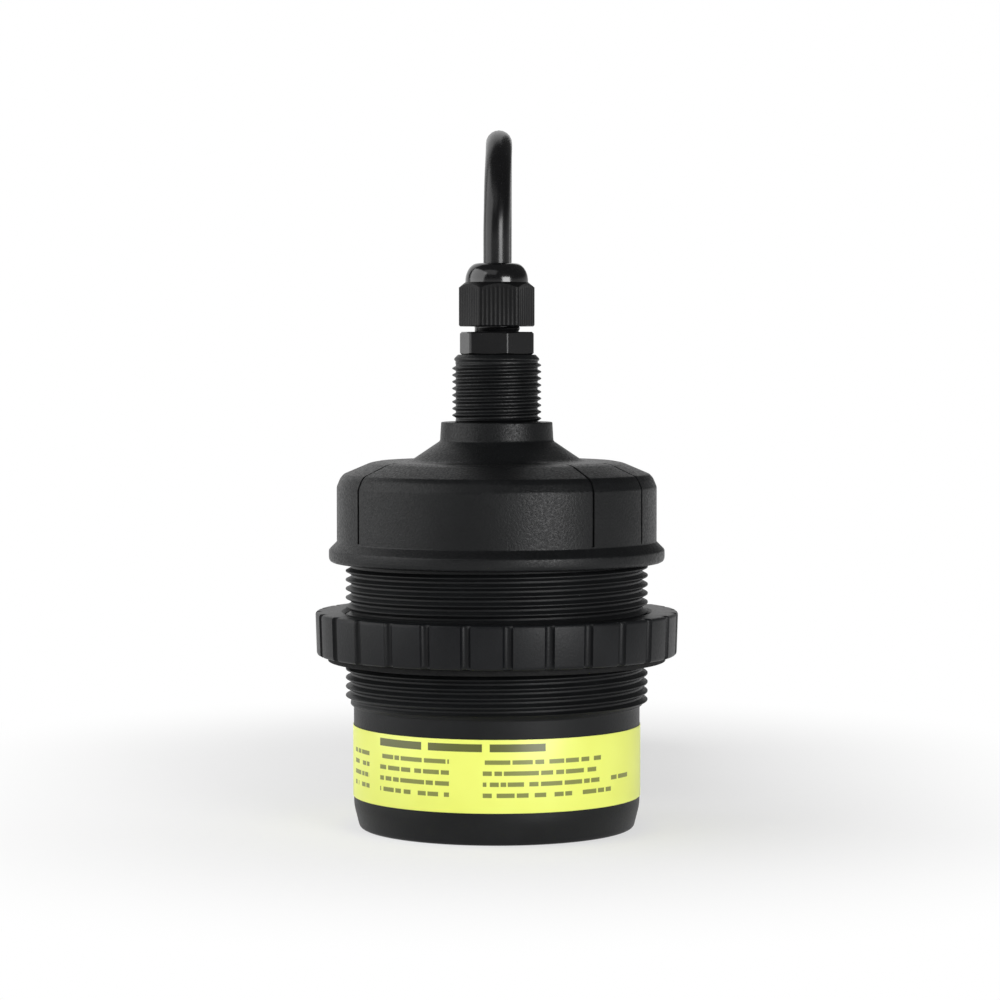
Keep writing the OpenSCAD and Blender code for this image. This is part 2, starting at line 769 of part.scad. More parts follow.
module cable_hank() {
  color(rubber_black) difference() {
    translate([0, 0, hank_floor_z]) union() {
      translate([0, hank_near_y, 0]) cylinder(r = hank_out_r, h = hank_h);
      translate([0, hank_far_y, 0]) cylinder(r = hank_out_r, h = hank_h);
      translate([-hank_out_r, hank_near_y, 0]) cube([2 * hank_out_r, hank_run, hank_h]);
    }
    translate([-hank_out_r - over, tail_y - tail_room, tail_floor_z])
      cube([hank_out_r + over + tail_room_edge_x, tail_room, hank_rise + over]);
  }
}

module hank_tie() {
  inner = [2 * hank_out_r, tie_w, hank_h];
  color("#d8d8d8") difference() {
    translate([-inner[0] / 2 - tie_t, tie_y, hank_floor_z - tie_t])
      cube(inner + [2 * tie_t, 0, 2 * tie_t]);
    translate([-inner[0] / 2, tie_y - over, hank_floor_z]) cube(inner + [0, 2 * over, 0]);
  }
}

// One core of the stripped end, lying on the hank, with its bare tip
module core_end(i) {
  aside = i - (terminal_count - 1) / 2;
  color(core_colours[i])
    translate([tail_x + aside * end_space, tail_y - fit, tail_floor_z + core_r + fit])
      rotate([90, 0, aside * end_fan]) {
        cylinder(r = core_r, h = end_h);
        cylinder(r = end_tip_r, h = end_h + end_tip_h, $fn = 24);
      }
}

barrel();
rating_label();
locknut();
sealing_washer();
top_cap();
cap_seal_ring();
gland_body();
gland_seal();
gland_nut();
radiating_disc();
piezo_disc();
damping_ring();
backing();
piezo_leads();
temperature_probe();
lower_pillars();
drive_board();
processor_chip();
amplifier_chip();
pulse_transformer();
drive_capacitors();
board_link();
upper_pillars();
supply_board();
board_screws();
supply_inductor();
supply_capacitor();
terminal_block();
core(0);  // core_red
core(1);  // core_black
core(2);  // core_yellow
core(3);  // core_blue
core(4);  // core_green
cable_inner();
cable_free();
cable_hank();
hank_tie();
core_end(0);  // end_red
core_end(1);  // end_black
core_end(2);  // end_yellow
core_end(3);  // end_blue
core_end(4);  // end_green
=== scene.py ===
import bmesh
import bpy
import numpy as np
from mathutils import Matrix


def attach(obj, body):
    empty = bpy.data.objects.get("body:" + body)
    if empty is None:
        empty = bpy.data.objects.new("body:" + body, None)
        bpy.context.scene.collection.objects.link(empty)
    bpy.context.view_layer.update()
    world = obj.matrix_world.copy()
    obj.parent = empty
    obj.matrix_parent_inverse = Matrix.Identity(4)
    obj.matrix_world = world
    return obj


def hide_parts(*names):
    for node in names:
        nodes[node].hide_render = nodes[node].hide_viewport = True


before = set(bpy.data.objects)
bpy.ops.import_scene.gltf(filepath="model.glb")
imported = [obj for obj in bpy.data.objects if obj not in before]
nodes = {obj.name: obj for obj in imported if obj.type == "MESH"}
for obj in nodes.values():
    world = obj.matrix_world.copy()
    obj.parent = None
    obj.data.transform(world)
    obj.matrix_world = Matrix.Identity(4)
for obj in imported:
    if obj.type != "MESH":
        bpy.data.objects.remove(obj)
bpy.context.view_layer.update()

# The barrel: one injection moulding in black ABS that screws into the tank top, open at the nose for the
# sounding face. Its lower part is smooth for the label, and a coarse right-hand thread runs from there up to
# the cap. The spigot above the thread is glued into the cap over a seal ring.


def srgb(code):
    """Linear colour of an sRGB hex value: c / 12.92 below 0.04045, else ((c + 0.055) / 1.055) ** 2.4."""
    c = np.array([int(code[i:i + 2], 16) for i in (1, 3, 5)]) / 255
    return (*np.where(c < 0.04045, c / 12.92, ((c + 0.055) / 1.055) ** 2.4), 1.0)


def add(tree, kind, values=None, links=None, **settings):
    """One node of a kind, with its settings, its inputs' values and links from other nodes' outputs."""
    node = tree.nodes.new("ShaderNode" + kind)
    for key, value in settings.items():
        setattr(node, key, value)
    for key, value in (values or {}).items():
        node.inputs[key].default_value = value
    for key, source in (links or {}).items():
        tree.links.new(source, node.inputs[key])
    return node


def bare_material(name):
    """A new material whose node tree is empty, and that tree."""
    material = bpy.data.materials.new(name)
    material.use_nodes = True
    material.node_tree.nodes.clear()
    return material, material.node_tree


def moulded(name, dark, light, grain, relief, rough, patch=9.0, ior=1.54, gloss=0.5, glint=0.1):
    """A moulded plastic, rubber or resin: two near colours in soft patches, a skin of small grains, sized in
    millimetres as their relief is, and a roughness that wanders up and down by the share called glint."""
    material, tree = bare_material(name)
    place = add(tree, "TexCoord").outputs["Object"]
    cloud = add(tree, "TexNoise", {"Scale": 1000 / patch, "Detail": 3.0, "Roughness": 0.55},
                {"Vector": place})
    grains = add(tree, "TexNoise", {"Scale": 1000 / grain, "Detail": 2.0, "Roughness": 0.6},
                 {"Vector": place})
    tint = add(tree, "ValToRGB", links={"Fac": cloud.outputs["Fac"]})
    low, high = tint.color_ramp.elements
    low.position, low.color = 0.36, srgb(dark)
    high.position, high.color = 0.66, srgb(light)
    sheen = add(tree, "MapRange", {"From Min": 0.3, "From Max": 0.7, "To Min": rough * (1 - glint),
                                   "To Max": rough * (1 + glint)}, {"Value": grains.outputs["Fac"]})
    bump = add(tree, "Bump", {"Strength": 1.0, "Distance": relief * 0.001}, {"Height": grains.outputs["Fac"]})
    shader = add(tree, "BsdfPrincipled", {"IOR": ior, "Specular IOR Level": gloss},
                 {"Base Color": tint.outputs["Color"], "Roughness": sheen.outputs["Result"],
                  "Normal": bump.outputs["Normal"]})
    add(tree, "OutputMaterial", links={"Surface": shader.outputs["BSDF"]})
    return material


def blunt(corners, cut, steps=5):
    """A line of corners, each rounded from a point A before the corner P to a point B after it, by the
    parabola that the corner pulls: (1-t)(1-t) A + 2t(1-t) P + t t B. The line's own ends stay."""
    corner = np.asarray(corners, float)
    cut = np.broadcast_to(cut, len(corner)).astype(float).copy()
    cut[[0, -1]] = 0
    step = np.diff(corner, axis=0)
    length = np.linalg.norm(step, axis=1)
    way = step / length[:, None]
    back, ahead = np.vstack([way[:1], way]), np.vstack([way, way[-1:]])
    room = 0.45 * np.minimum(np.append(length[:1], length), np.append(length, length[-1:]))
    cut = np.minimum(cut, room)[:, None, None]
    t = np.linspace(0, 1, steps)[None, :, None]
    before, after = corner[:, None] - back[:, None] * cut, corner[:, None] + ahead[:, None] * cut
    return ((1 - t) ** 2 * before + 2 * t * (1 - t) * corner[:, None] + t ** 2 * after).reshape(-1, 2)


def screw_turns(root, depth, pitch, start, turns, around):
    """Rows of r and z for a right-hand screw thread. The row that starts v pitches up climbs one more in a
    whole turn, z = start + pitch (v + angle / 360), and its radius is the root plus the depth times the
    height of the thread's section at v. Rows are held between both ends, where it fades in half a pitch."""
    share = np.array([0, 0.10, 0.15, 0.40, 0.45, 0.55, 0.60, 0.85, 0.90])
    height = np.array([0, 0, 0.07, 0.93, 1, 1, 0.93, 0.07, 0])
    v = (np.arange(-1, turns)[:, None] + share).reshape(-1, 1)
    top = start + pitch * turns
    z = np.clip(start + pitch * (v + around / (2 * np.pi)), start, top)
    end = np.clip(np.minimum(z - start, top - z) / (0.5 * pitch), 0, 1)
    r = root + depth * np.tile(height, turns + 1)[:, None] * end * end * (3 - 2 * end)
    return np.stack([r, z], axis=-1)


def turned(around, *stretches):
    """Points of a turned shape, (r cos a, r sin a, z), in stretches one after another. A stretch is rows of
    r and z, either the same all the way round or given for each angle a."""
    rows = [stretch if stretch.ndim == 3 else np.repeat(stretch[:, None], around.size, axis=1)
            for stretch in stretches]
    r, z = np.moveaxis(np.concatenate(rows), -1, 0)
    return np.stack([r * np.cos(around), r * np.sin(around), z], axis=-1)


def skin(name, grid, material, sharp=35.0, uv=None):
    """A mesh from a grid of points in millimetres: each point is a vertex, and each cell between four
    neighbours is a face. Rows or columns that meet are merged, and edges that turn by more than the sharp
    angle stay crisp."""
    rows, columns = grid.shape[:2]
    at = np.arange(rows * columns).reshape(rows, columns)
    cells = np.stack([at[:-1, :-1], at[:-1, 1:], at[1:, 1:], at[1:, :-1]], axis=-1).reshape(-1, 4)
    mesh = bpy.data.meshes.new(name)
    mesh.from_pydata((grid.reshape(-1, 3) * 0.001).tolist(), [], cells.tolist())
    if uv is not None:
        layer = mesh.uv_layers.new(name="run")
        layer.data.foreach_set("uv", uv.reshape(-1, 2)[cells].ravel())
    shell = bmesh.new()
    shell.from_mesh(mesh)
    bmesh.ops.remove_doubles(shell, verts=shell.verts, dist=0.000002)
    bmesh.ops.recalc_face_normals(shell, faces=shell.faces)
    shell.to_mesh(mesh)
    shell.free()
    mesh.shade_smooth()
    mesh.set_sharp_from_angle(angle=np.radians(sharp))
    mesh.materials.append(material)
    piece = bpy.data.objects.new(name, mesh)
    bpy.context.scene.collection.objects.link(piece)
    return piece


# Satin ABS straight from a fine-textured tool: a soft broad highlight, broken by a grain that is drawn at
# 0.45 mm, coarser than the real 0.1 mm, so that it shows.
abs_satin = moulded("abs_black_satin", "#101112", "#151617", grain=0.45, relief=0.03, rough=0.45, gloss=0.17)

# Radii and heights in millimetres, from the nose's rim upwards
bore_r, face_ledge_r, rim_r, smooth_r = 29.5, 27.5, 30.9, 32.2
face_ledge_z, taper_z, smooth_top = 3.0, 5.2, 27.3
thread_root, thread_depth, thread_pitch, thread_turns, thread_foot = 32.8, 1.2, 2.0, 16, 27.8
thread_crest, thread_top = thread_root + thread_depth, thread_foot + thread_pitch * thread_turns
stop_top, spigot_r, spigot_top = 60.3, 32.9, 70.3
seal_groove_r, seal_groove_low, seal_groove_high = 31.1, 64.2, 66.4

around = np.linspace(0, 2 * np.pi, 216 + 1)
nose_and_side = blunt([(bore_r, face_ledge_z), (face_ledge_r, face_ledge_z), (face_ledge_r, 0), (rim_r, 0),
                       (smooth_r, taper_z), (smooth_r, smooth_top), (thread_root, thread_foot)],
                      cut=[0, 0.2, 0.3, 0.9, 1.2, 0.2, 0])
thread = screw_turns(thread_root, thread_depth, thread_pitch, thread_foot, thread_turns, around)
spigot = blunt([(thread_root, thread_top), (thread_crest, thread_top), (thread_crest, stop_top),
                (spigot_r, stop_top), (spigot_r, seal_groove_low), (seal_groove_r, seal_groove_low),
                (seal_groove_r, seal_groove_high), (spigot_r, seal_groove_high), (spigot_r, spigot_top),
                (bore_r, spigot_top), (bore_r, face_ledge_z)], cut=0.15)
barrel = skin("barrel_shell", turned(around, nose_and_side, thread, spigot), abs_satin)
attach(barrel, "housing")
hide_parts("barrel")

# The rating label: a lemon yellow polyester film, printed in dark ink, wrapped round the smooth barrel and
# stuck down by its own glue. Its two ends leave a narrow gap at the back.

label_r, label_thick, label_low, label_height = 32.22, 0.15, 7.3, 16.0
label_middle, label_top = label_low + label_height / 2, label_low + label_height
label_out = label_r + label_thick
wrap = np.radians(np.linspace(95, 445, 210 + 1))
label_length = round(float(label_out * np.ptp(wrap)), 1)

# Gloss film over yellow ink: even colour, a soft sheen, and rows of plain bars where a label carries its
# data. The print is worked out in millimetres, up from the lower edge and aside from the label's middle.
film, tree = bare_material("polyester_film_yellow")
run = add(tree, "SeparateXYZ", links={"Vector": add(tree, "UVMap", uv_map="run").outputs["UV"]})
up = add(tree, "Math", {1: label_height}, {0: run.outputs["Y"]}, operation="MULTIPLY").outputs[0]
aside = add(tree, "Math", {1: label_length, 2: -label_length / 2}, {0: run.outputs["X"]},
            operation="MULTIPLY_ADD").outputs[0]
# Four rows 2.4 mm apart, each with ink over the middle 40 percent of its height
rows, row_gap, row_foot, inked_share = 4, 2.4, 2.7, 0.4
row = add(tree, "Math", {1: 1 / row_gap, 2: -row_foot / row_gap}, {0: up},
          operation="MULTIPLY_ADD").outputs[0]
row_number = add(tree, "Math", links={0: row}, operation="FLOOR").outputs[0]
in_rows = add(tree, "Math", {1: rows / 2, 2: rows / 2}, {0: row}, operation="COMPARE").outputs[0]
across_row = add(tree, "Math", links={0: row}, operation="FRACT").outputs[0]
inked = add(tree, "Math", {1: 0.5, 2: inked_share / 2}, {0: across_row}, operation="COMPARE").outputs[0]
# Bars about 4 mm apart, of lengths that wander over 5 mm, differently in each row
bar_gap, bar_share, wander_gap, wander_bars, row_shift = 4.0, 0.8, 5.0, 2.0, 7.37
spot = add(tree, "CombineXYZ", links={
    "X": add(tree, "Math", {1: 1 / wander_gap}, {0: aside}, operation="MULTIPLY").outputs[0],
    "Y": add(tree, "Math", {1: row_shift}, {0: row_number}, operation="MULTIPLY").outputs[0]})
wander = add(tree, "TexNoise", {"Scale": 1.0, "Detail": 0.0}, {"Vector": spot.outputs["Vector"]},
             noise_dimensions="2D").outputs["Fac"]
bars = add(tree, "Math", {1: 1 / bar_gap}, {0: aside}, operation="MULTIPLY").outputs[0]
bars = add(tree, "Math", {1: wander_bars}, {0: wander, 2: bars}, operation="MULTIPLY_ADD").outputs[0]
along_bar = add(tree, "Math", links={0: bars}, operation="FRACT").outputs[0]
bar = add(tree, "Math", {1: bar_share}, {0: along_bar}, operation="LESS_THAN").outputs[0]
# Two short columns on the left, and a long one on the right whose rows end up to 16 mm short of its edge
edge_at, edge_half, left_at, left_half = -38.5, 4.5, -20.0, 9.5
right_at, right_half, right_short = 17.5, 20.5, 16.0
edge_column = add(tree, "Math", {1: edge_at, 2: edge_half}, {0: aside}, operation="COMPARE").outputs[0]
left_column = add(tree, "Math", {1: left_at, 2: left_half}, {0: aside}, operation="COMPARE").outputs[0]
right_column = add(tree, "Math", {1: right_at, 2: right_half}, {0: aside}, operation="COMPARE").outputs[0]
chance = add(tree, "TexWhiteNoise", links={"W": row_number}, noise_dimensions="1D").outputs["Value"]
row_end = add(tree, "Math", {1: -right_short, 2: right_at + right_half}, {0: chance},
              operation="MULTIPLY_ADD").outputs[0]
before_end = add(tree, "Math", links={0: aside, 1: row_end}, operation="LESS_THAN").outputs[0]
columns = add(tree, "Math", links={0: right_column, 1: before_end}, operation="MULTIPLY").outputs[0]
for column in (left_column, edge_column):
    columns = add(tree, "Math", links={0: columns, 1: column}, operation="MAXIMUM").outputs[0]
ink = in_rows
for mask in (inked, bar, columns):
    ink = add(tree, "Math", links={0: ink, 1: mask}, operation="MULTIPLY").outputs[0]
# A heading of three thicker bars, 14 mm apart
heading_up, heading_half, heading_at, heading_reach = 14.2, 0.85, -8.7, 20.8
heading_gap, heading_share = 14, 0.88
heading_from = heading_at - heading_reach
heading = add(tree, "Math", {1: heading_up, 2: heading_half}, {0: up}, operation="COMPARE").outputs[0]
heading_run = add(tree, "Math", {1: heading_at, 2: heading_reach}, {0: aside}, operation="COMPARE").outputs[0]
heading_bars = add(tree, "Math", {1: 1 / heading_gap, 2: -heading_from / heading_gap}, {0: aside},
                   operation="MULTIPLY_ADD").outputs[0]
along_bar = add(tree, "Math", links={0: heading_bars}, operation="FRACT").outputs[0]
heading_bar = add(tree, "Math", {1: heading_share}, {0: along_bar}, operation="LESS_THAN").outputs[0]
for mask in (heading_run, heading_bar):
    heading = add(tree, "Math", links={0: heading, 1: mask}, operation="MULTIPLY").outputs[0]
# The yellow drifts a little over 14 mm, and the film's glue leaves a faint ripple of 1.6 mm
place = add(tree, "TexCoord").outputs["Object"]
cloud = add(tree, "TexNoise", {"Scale": 1000 / 14, "Detail": 2.0}, {"Vector": place})
yellow = add(tree, "ValToRGB", links={"Fac": cloud.outputs["Fac"]})
low, high = yellow.color_ramp.elements
low.position, low.color = 0.3, srgb("#e8ef6c")
high.position, high.color = 0.7, srgb("#ecf476")
printed = yellow.outputs["Color"]
for mask, colour in ((ink, "#7f8440"), (heading, "#5a5e2a")):
    printed = add(tree, "Mix", {"B": srgb(colour)}, {"Factor": mask, "A": printed},
                  data_type="RGBA").outputs["Result"]
ripple = add(tree, "TexNoise", {"Scale": 1000 / 1.6, "Detail": 1.0}, {"Vector": place})
bump = add(tree, "Bump", {"Strength": 1.0, "Distance": 0.000006}, {"Height": ripple.outputs["Fac"]})
shader = add(tree, "BsdfPrincipled", {"Roughness": 0.4, "IOR": 1.5},
             {"Base Color": printed, "Normal": bump.outputs["Normal"]})
add(tree, "OutputMaterial", links={"Surface": shader.outputs["BSDF"]})

# A thin closed section carried round the barrel, with both ends drawn together to the middle of the film
wrap = np.concatenate([wrap[:1], wrap, wrap[-1:]])
band = blunt([(label_r, label_middle), (label_r, label_low), (label_out, label_low), (label_out, label_top),
              (label_r, label_top), (label_r, label_middle)], cut=0.05, steps=3)
band = np.repeat(band[:, None], wrap.size, axis=1)
band[:, [0, -1]] = label_r + label_thick / 2, label_middle
along_label, up_label = (wrap - wrap[0]) / np.ptp(wrap), (band[..., 1] - label_low) / label_height
label_uv = np.stack(np.broadcast_arrays(along_label, up_label), axis=-1)
label = skin("label_band", turned(wrap, band), film, uv=label_uv)
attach(label, "housing")
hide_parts("rating_label")

# The transducer: a pale layer of epoxy and glass bubbles that radiates the pulse, the piezo disc glued on
# it, a cork ring round the disc and poured resin behind. Two leads and a temperature probe run up through it.


def finish(material, *names):
    """Gives the named solids of the frame a material in place of their plain colour."""
    for name in names:
        nodes[name].data.materials.clear()
        nodes[name].data.materials.append(material)


# Each is dull and even; the cork shows its 2 mm granules and the ceramic a fine fired grain.
bubble_epoxy = moulded("epoxy_glass_bubble", "#cfc9b6", "#dad5c5", grain=0.5, relief=0.01, rough=0.6)
ceramic = moulded("piezo_ceramic", "#b09f80", "#bfb092", grain=0.3, relief=0.006, rough=0.5)
cork = moulded("agglomerated_cork", "#4a3826", "#755c40", grain=1.2, relief=0.15, rough=0.85, patch=2.0)
poured_resin = moulded("poured_resin_grey", "#34343a", "#3f3f46", grain=3.0, relief=0.03, rough=0.3)
lead_red = moulded("lead_insulation_red", "#a32a2a", "#b23434", grain=0.4, relief=0.004, rough=0.4)
probe_resin = moulded("probe_resin", "#7d5f2a", "#8f7036", grain=0.6, relief=0.01, rough=0.35)
finish(bubble_epoxy, "radiating_disc")
finish(ceramic, "piezo_disc")
finish(cork, "damping_ring")
finish(poured_resin, "backing")
finish(lead_red, "piezo_leads")
finish(probe_resin, "temperature_probe")

# The electronics: two round glass-epoxy boards on plated steel pillars, with the pulse transformer, chips
# and capacitors soldered on, a pin strip between them and five screw terminals for the cable's cores.

# Zinc plating on turned steel: a grey metal with lathe rings 0.4 mm apart and slightly cloudy brightness. A
# wave texture of scale s has a ring for every 2 pi / 20 / s metres.
ring_gap = 0.4
plated, tree = bare_material("zinc_plated_steel")
place = add(tree, "TexCoord").outputs["Object"]
rings = add(tree, "TexWave", {"Scale": 1000 * 2 * np.pi / 20 / ring_gap, "Distortion": 1.0},
            {"Vector": place}, bands_direction="Z")
cloud = add(tree, "TexNoise", {"Scale": 1000 / 4, "Detail": 2.0}, {"Vector": place})
tint = add(tree, "ValToRGB", links={"Fac": cloud.outputs["Fac"]})
low, high = tint.color_ramp.elements
low.color, high.color = srgb("#a9acae"), srgb("#c6c9cb")
dull = add(tree, "MapRange", {"To Min": 0.28, "To Max": 0.42}, {"Value": cloud.outputs["Fac"]})
bump = add(tree, "Bump", {"Strength": 0.4, "Distance": 0.00001}, {"Height": rings.outputs["Fac"]})
shader = add(tree, "BsdfPrincipled", {"Metallic": 1.0}, {
    "Base Color": tint.outputs["Color"], "Roughness": dull.outputs["Result"],
    "Normal": bump.outputs["Normal"]})
add(tree, "OutputMaterial", links={"Surface": shader.outputs["BSDF"]})
finish(plated, "lower_pillars", "upper_pillars", "board_screws")

# Solder mask over glass cloth shows as a green in 1.5 mm patches. Chips are dull cast resin, ferrites
# sintered and gritty, and the capacitors' sleeves and the nylon mouldings smooth with a soft gloss.
board_green = moulded("glass_epoxy_green", "#1a5c33", "#23743f", grain=0.5, relief=0.01, rough=0.35,
                      patch=1.5)
chip_resin = moulded("chip_resin_black", "#1a1a1b", "#242425", grain=0.25, relief=0.006, rough=0.55)
ferrite = moulded("sintered_ferrite", "#2a2827", "#3a3633", grain=0.3, relief=0.01, rough=0.6)
sleeve = moulded("capacitor_sleeve_blue", "#22304a", "#2b3c5a", grain=0.8, relief=0.004, rough=0.3)
header_nylon = moulded("header_nylon_black", "#17171a", "#222225", grain=0.4, relief=0.006, rough=0.45)
terminal_nylon = moulded("terminal_nylon_green", "#286b41", "#328050", grain=0.4, relief=0.006, rough=0.4)
finish(board_green, "drive_board", "supply_board")
finish(chip_resin, "processor_chip", "amplifier_chip")
finish(ferrite, "pulse_transformer", "supply_inductor")
finish(sleeve, "drive_capacitors", "supply_capacitor")
finish(header_nylon, "board_link")
finish(terminal_nylon, "terminal_block")

# The sealing washer: a flat ring punched from black rubber sheet, slipped onto the thread under the locknut,
# where it is pressed against the tank top.

# Rubber is the dullest black on the part: a chalky bloom and no clear highlight.
rubber = moulded("sheet_rubber_black", "#0f0f10", "#151515", grain=0.5, relief=0.04, rough=0.75,
                 ior=1.5, gloss=0.2)

washer_in, washer_seam, washer_out, washer_low, washer_top = 34.2, 36.0, 38.0, 37.65, 38.95
ring = blunt([(washer_seam, washer_low), (washer_out, washer_low), (washer_out, washer_top),
              (washer_in, washer_top), (washer_in, washer_low), (washer_seam, washer_low)], cut=0.15, steps=4)
washer = skin("washer_ring", turned(around, ring), rubber)
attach(washer, "washer")
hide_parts("sealing_washer")

# The locknut: a moulded ABS ring nut, tightened by hand on the barrel's thread from below the tank top.
# Twenty-eight half-round flutes across its rim give the fingers a grip.

# Semi-gloss ABS from a polished tool, a little shinier than the barrel.
abs_polished = moulded("abs_black_polished", "#0e0f11", "#131416", grain=0.6, relief=0.03, rough=0.42,
                       gloss=0.16)

nut_bore, nut_r, nut_foot_r, nut_low, nut_top = 34.2, 40.8, 40.5, 39.0, 48.7
nut_seam, lead_in, wide_lead_in = 43.0, 0.3, 0.8
flutes, first_flute, flute_r, flute_deep = 28, np.radians(-86.6), 1.15, 1.0
flutes_from, flutes_full = 38.6, 39.2


def flute(angle):
    """Depth of the half-round flutes at an angle: sqrt(r r - y y) - (r - deep), and nothing where that is
    negative, with y the way along the rim from the nearest flute's middle and r the flute's radius."""
    pitch = 2 * np.pi / flutes
    y = nut_r * ((angle - first_flute + pitch / 2) % pitch - pitch / 2)
    return np.maximum(np.sqrt(np.maximum(flute_r ** 2 - y ** 2, 0)) - (flute_r - flute_deep), 0)


# Thirteen columns across each flute and six across the land after it
within = np.concatenate([np.linspace(-1.14, 1.14, 13), np.linspace(1.5, 7.6, 6)]) / nut_r
rim_angles = first_flute + (np.arange(flutes)[:, None] * 2 * np.pi / flutes + within).ravel()
rim_angles = np.append(rim_angles, rim_angles[0] + 2 * np.pi)
rim = blunt([(nut_bore, nut_seam), (nut_bore, nut_low + lead_in), (nut_bore + lead_in, nut_low),
             (nut_foot_r, nut_low), (nut_r, nut_top), (nut_bore + wide_lead_in, nut_top),
             (nut_bore, nut_top - wide_lead_in), (nut_bore, nut_seam)],
            cut=[0, 0.1, 0.1, 0.8, 0.8, 0.15, 0.15, 0])
rim = np.repeat(rim[:, None], rim_angles.size, axis=1)
rim[..., 0] -= flute(rim_angles) * np.clip((rim[..., 0] - flutes_from) / (flutes_full - flutes_from), 0, 1)
locknut = skin("locknut_ring", turned(rim_angles, rim), abs_polished, sharp=28)
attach(locknut, "nut")
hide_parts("locknut")

# The cap: one ABS moulding glued on the barrel's spigot. A flange sits on the thread's end, fine grooves
# mark off three grip panels over the wall and shoulder, and a threaded neck on the cone carries the gland.

# The cap's tool was spark eroded: a coarse sparkling grain, drawn at 0.5 mm, that breaks up every highlight.
abs_grained = moulded("abs_black_spark_grained", "#0c0d0e", "#111213", grain=0.5, relief=0.07,
                      rough=0.43, gloss=0.185, glint=0.3)

panel_at, panel_half = np.radians([-41, 79, 199]), np.radians(13.5)
groove_foot, groove_mouth = np.radians(0.45), np.radians(0.56)
groove_at = (panel_at[:, None] + np.array([-1, 1]) * panel_half).ravel()
groove_side = np.array([0, 0.25 * groove_foot, groove_foot, groove_mouth, 1.3 * groove_mouth])
groove_columns = (groove_at[:, None] + np.append(-groove_side, groove_side)).ravel() % (2 * np.pi)
crown_angles = np.unique(np.concatenate([around[:-1], groove_columns]).round(6))
crown_angles = np.append(crown_angles, crown_angles[0] + 2 * np.pi)
off_groove = np.abs((crown_angles[:, None] - groove_at + np.pi) % (2 * np.pi) - np.pi).min(axis=1)
in_groove = np.clip((groove_mouth - off_groove) / (groove_mouth - groove_foot), 0, 1)

cap_bore, cap_play, wall_r, flange_r, flange_top, wall_foot = 33.0, 0.1, 35.95, 37.75, 62.6, 64.4
crown_z, collar_r, ceiling_z, ceiling_side = 82.4, 12.5, 79.45, 75.2
neck_root, neck_depth, neck_pitch, neck_turns, neck_foot, neck_mouth = 9.2, 0.8, 1.5, 9, 91.2, 106.3
neck_thread_top = neck_foot + neck_pitch * neck_turns
gland_bore, gland_seat, cable_hole = 6.3, 96.2, 4.5
foot = [(cap_bore, stop_top), (thread_crest + cap_play, stop_top), (thread_crest + cap_play, thread_top),
        (flange_r, thread_top), (flange_r, flange_top), (wall_r, wall_foot), (wall_r, 64.8)]
side_and_shoulder = [(wall_r, 64.85), (wall_r, 76.7), (35.15, 78.64), (34.35, 79.55), (28.5, 82.04),
                     (26.5, crown_z), (26.05, crown_z), (26.0, crown_z)]
collar = [(19.5, crown_z), (12.75, 86.95), (collar_r, neck_foot), (neck_root, neck_foot)]
# The grooves' floor lies up to half a millimetre inside the wall and shoulder
sink = np.array([(-0.5, 0), (-0.5, 0), (-0.45, 0), (-0.3, -0.4), (-0.2, -0.5), (0, -0.5), (0, -0.5), (0, 0)])
cuts = [0, 0.1, 0.1, 1.3, 0.35, 0.4, 0.1, 0.1, 0.3, 0.4, 0.3, 0.7, 0.5, 0.1, 0.1, 1.2, 0.4, 0.3, 0]
plain = blunt(foot + side_and_shoulder + collar, cuts)
sunk = blunt(np.vstack([foot, side_and_shoulder + sink, collar]), cuts)
wall = plain[:, None] + (sunk - plain)[:, None] * in_groove[None, :, None]
neck = screw_turns(neck_root, neck_depth, neck_pitch, neck_foot, neck_turns, crown_angles)
inside = blunt([(neck_root, neck_thread_top), (9.6, 105.2), (9.5, 105.5), (8.7, neck_mouth),
                (gland_bore, neck_mouth), (gland_bore, gland_seat), (cable_hole, gland_seat),
                (cable_hole, 85.9), (16.55, ceiling_z), (25.55, ceiling_z), (cap_bore, ceiling_side),
                (cap_bore, stop_top)], cut=0.15)
cap = skin("cap_shell", turned(crown_angles, wall, neck, inside), abs_grained, sharp=32)
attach(cap, "housing")
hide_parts("top_cap")

# Nitrile rubber, moulded smooth: an even black with a dull gloss
nitrile = moulded("ring_nitrile_black", "#121213", "#191919", grain=0.5, relief=0.006, rough=0.5, ior=1.5)
finish(nitrile, "cap_seal_ring")

# The cable gland: a moulded nylon body screwed into the neck, a rubber seal in its claws, and a dome nut
# that presses the claws round the cable. Both hexagons take a small spanner, the dome nut's ribs the fingers.

# Nylon takes on the tool's finish: textured and dull on the dome nut's hexagon, satin on the body, and
# polished on the dome, which shows small clear highlights.
nylon_textured = moulded("nylon_black_textured", "#0b0b0c", "#101011", grain=0.45, relief=0.03, rough=0.4,
                         ior=1.53, gloss=0.12)
nylon_satin = moulded("nylon_black_satin", "#0b0b0c", "#101011", grain=0.9, relief=0.006, rough=0.24,
                      ior=1.53, gloss=0.2)
nylon_polished = moulded("nylon_black_polished", "#0b0b0c", "#101011", grain=0.9, relief=0.004, rough=0.15,
                         ior=1.53, gloss=0.5)

flat_half, corner_round, corner_r = 7.5, 1.0, 8.51
corner_columns = np.array([25.5, 26.5, 27.2, 27.9, 28.6, 29.3])


def six_sides(turn, side):
    """Angles all the way round a hexagon that is turned by some degrees, from the places of its columns to
    both sides of the middle of a flat, in degrees."""
    angles = np.radians((turn + 30 + np.arange(6)[:, None] * 60 + side).ravel())
    return np.append(angles, angles[0] + 2 * np.pi)


